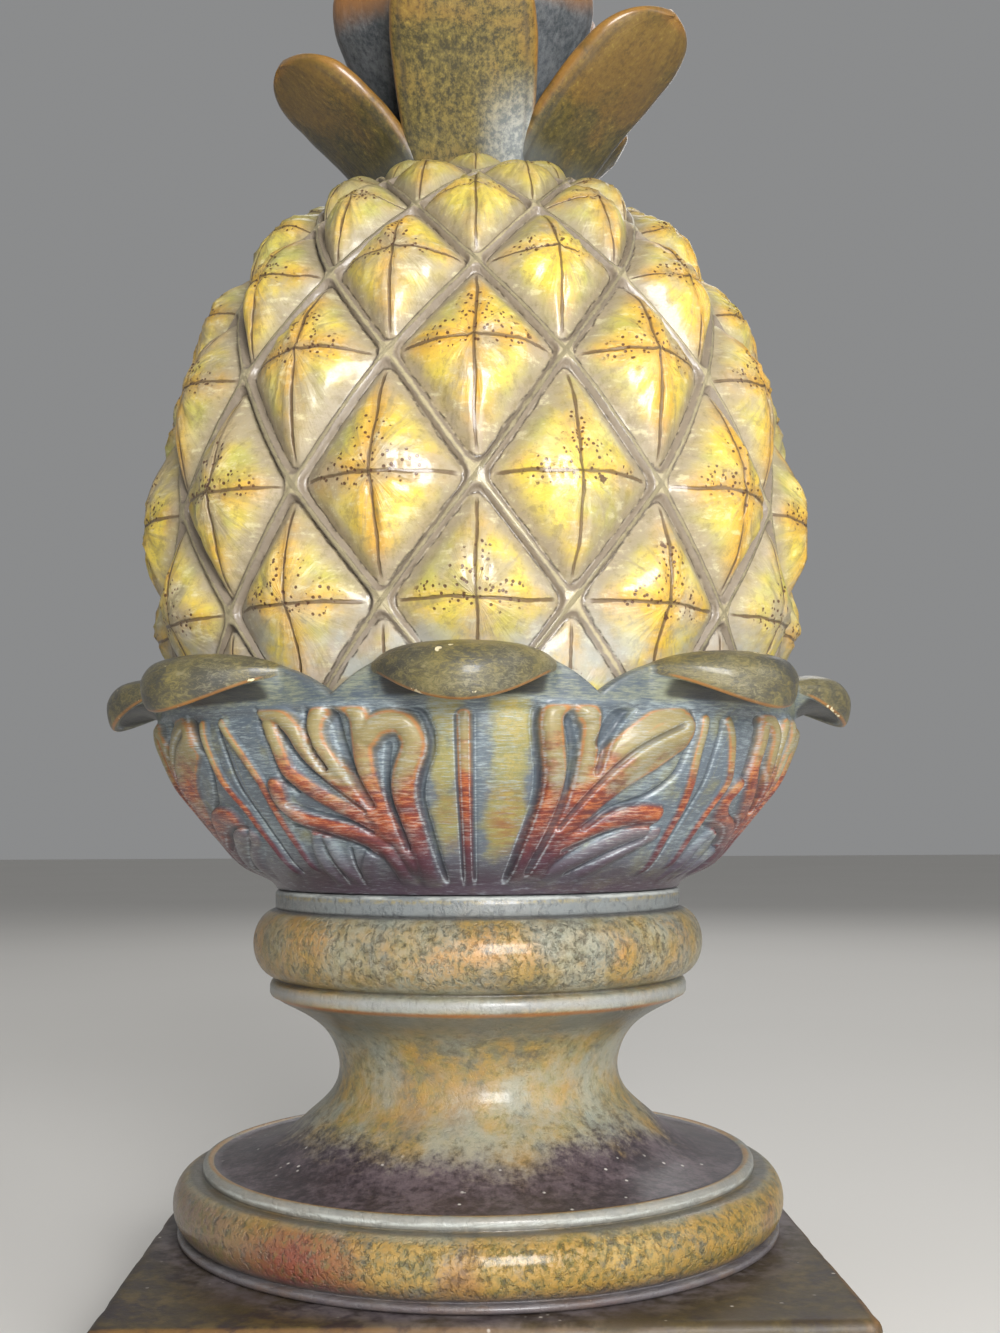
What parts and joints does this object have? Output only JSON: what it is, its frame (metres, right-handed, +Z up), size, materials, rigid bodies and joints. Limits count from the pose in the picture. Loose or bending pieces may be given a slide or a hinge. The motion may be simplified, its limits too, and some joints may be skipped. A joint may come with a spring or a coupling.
{
  "type": "pineapple finial statue",
  "caption": "Painted pineapple finial with an upright leaf crown, seated in a cup of curled leaves on a turned pedestal and a square plinth",
  "frame": {"origin": "centre of the plinth's underside", "axes": "+Z up along the axis of the pedestal and fruit, -Y towards the viewer of the pictured front, +X to that viewer's right"},
  "size_m": [0.2268, 0.2268, 0.4244],
  "materials": {
    "plinth_paint": "satin dark brown-purple paint with worn ochre edges on cast resin",
    "pedestal_paint": "satin mottled ochre, olive and slate paint on cast resin",
    "cup_paint": "satin red, orange and slate paint on cast resin",
    "fruit_paint": "glossy golden yellow paint with taupe wash and brown specks on cast resin",
    "crown_paint": "satin olive, orange and slate paint on cast resin"
  },
  "bodies": {
    "root": {"plinth": "plinth_paint", "pedestal": "pedestal_paint", "leaf_cup": "cup_paint", "fruit": "fruit_paint", "crown": "crown_paint"}
  },
  "joints": []
}
